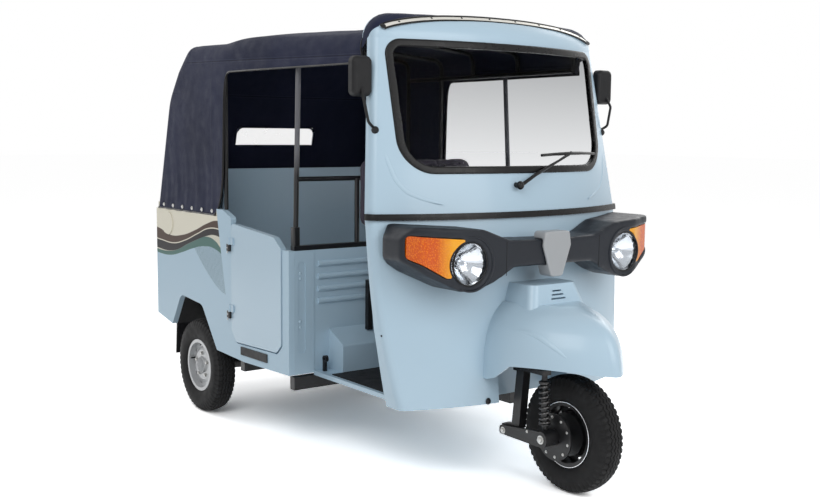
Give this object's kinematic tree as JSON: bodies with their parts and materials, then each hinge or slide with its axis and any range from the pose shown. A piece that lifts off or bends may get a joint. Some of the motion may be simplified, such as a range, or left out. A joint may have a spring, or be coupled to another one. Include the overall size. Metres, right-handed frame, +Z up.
{
  "type": "auto rickshaw",
  "caption": "Passenger auto rickshaw with an enclosed front cab, open sides, a canvas hood over a rear bench, half doors, handlebar steering and a rear engine lid.",
  "frame": {"origin": "on the ground under the middle of the overall box", "axes": "+Z up, the vehicle faces -Y, its right-hand side is -X"},
  "size_m": [1.524, 2.8708, 2.0119],
  "materials": {
    "body_paint": "gloss pale blue enamel",
    "canvas": "coated canvas, dark navy",
    "black_trim": "black moulded rubber",
    "lamp_plastic": "dark blue-grey moulded plastic",
    "clear_glass": "clear glass",
    "amber_lens": "orange moulded lens",
    "red_lens": "red moulded lens",
    "reflector": "bright metallised reflector",
    "badge_grey": "light grey plastic",
    "black_steel": "black semi-gloss enamel",
    "black_plastic": "grained black plastic",
    "tyre_rubber": "rubber",
    "silver_rim": "silver enamel",
    "seat_vinyl": "dark purple-black vinyl",
    "engine_metal": "cast alloy",
    "mat_rubber": "ribbed rubber mat",
    "clear_sheet": "clear flexible plastic sheet"
  },
  "bodies": {
    "body": {"cab_shell": "body_paint", "front_fender": "body_paint", "side_panel_right": "body_paint", "side_panel_left": "body_paint", "rear_panel": "body_paint", "bulkhead": "body_paint", "seat_box": "body_paint", "cab_floor": "body_paint", "rear_floor": "body_paint", "bench_back": "body_paint", "canopy": "canvas", "canopy_window": "clear_sheet", "windscreen_seal": "black_trim", "waist_trim": "black_trim", "lamp_bar": "lamp_plastic", "windscreen_glass": "clear_glass", "headlamp_lenses": "clear_glass", "indicator_lenses": "amber_lens", "tail_lamps": "red_lens", "headlamp_reflectors": "reflector", "badge_plate": "badge_grey", "canopy_frame": "black_steel", "partition_frame": "black_steel", "seat_frame": "black_steel", "chassis_frame": "black_steel", "rear_suspension": "black_steel", "door_hinges": "black_steel", "wiper": "black_steel", "pedals": "black_steel", "mirrors": "black_plastic", "dashboard": "black_plastic", "door_steps": "black_plastic", "arch_liners": "black_plastic", "driver_seat": "seat_vinyl", "bench_cushion": "seat_vinyl", "engine_block": "engine_metal", "floor_mat": "mat_rubber"},
    "steering": {"steering_column": "black_steel", "handlebar": "black_steel", "front_fork": "black_steel", "front_link": "black_steel", "front_shock": "black_steel"},
    "front_wheel": {"tyre_front": "tyre_rubber", "rim_front": "silver_rim"},
    "rear_wheel_right": {"tyre_rear_right": "tyre_rubber", "rim_rear_right": "silver_rim"},
    "rear_wheel_left": {"tyre_rear_left": "tyre_rubber", "rim_rear_left": "silver_rim"},
    "door_right_side": {"door_right": "body_paint"},
    "door_left_side": {"door_left": "body_paint"},
    "lid": {"engine_lid": "body_paint"},
    "flap": {"fuel_flap": "body_paint"}
  },
  "joints": [
    {"name": "steer", "type": "hinge", "parent": "body", "child": "steering", "pos_m": [0, -0.9686, 0.575], "axis": [0, 0.4067, 0.9135], "range_deg": [-40, 40]},
    {"name": "front_wheel_spin", "type": "hinge", "parent": "steering", "child": "front_wheel", "pos_m": [0, -1.1846, 0.25], "axis": [1, 0, 0], "continuous": true},
    {"name": "rear_right_spin", "type": "hinge", "parent": "body", "child": "rear_wheel_right", "pos_m": [-0.663, 0.9154, 0.25], "axis": [1, 0, 0], "continuous": true},
    {"name": "rear_left_spin", "type": "hinge", "parent": "body", "child": "rear_wheel_left", "pos_m": [0.663, 0.9154, 0.25], "axis": [1, 0, 0], "continuous": true},
    {"name": "door_right_swing", "type": "hinge", "parent": "body", "child": "door_right_side", "pos_m": [-0.73, 0.5124, 0.6], "axis": [0, 0, -1], "range_deg": [0, 80]},
    {"name": "door_left_swing", "type": "hinge", "parent": "body", "child": "door_left_side", "pos_m": [0.73, 0.5124, 0.6], "axis": [0, 0, 1], "range_deg": [0, 80]},
    {"name": "engine_lid_swing", "type": "hinge", "parent": "body", "child": "lid", "pos_m": [0, 1.4234, 0.916], "axis": [1, 0, 0], "range_deg": [0, 75]},
    {"name": "fuel_flap_swing", "type": "hinge", "parent": "body", "child": "flap", "pos_m": [-0.728, 1.3354, 0.995], "axis": [0, 0, -1], "range_deg": [0, 110]}
  ]
}
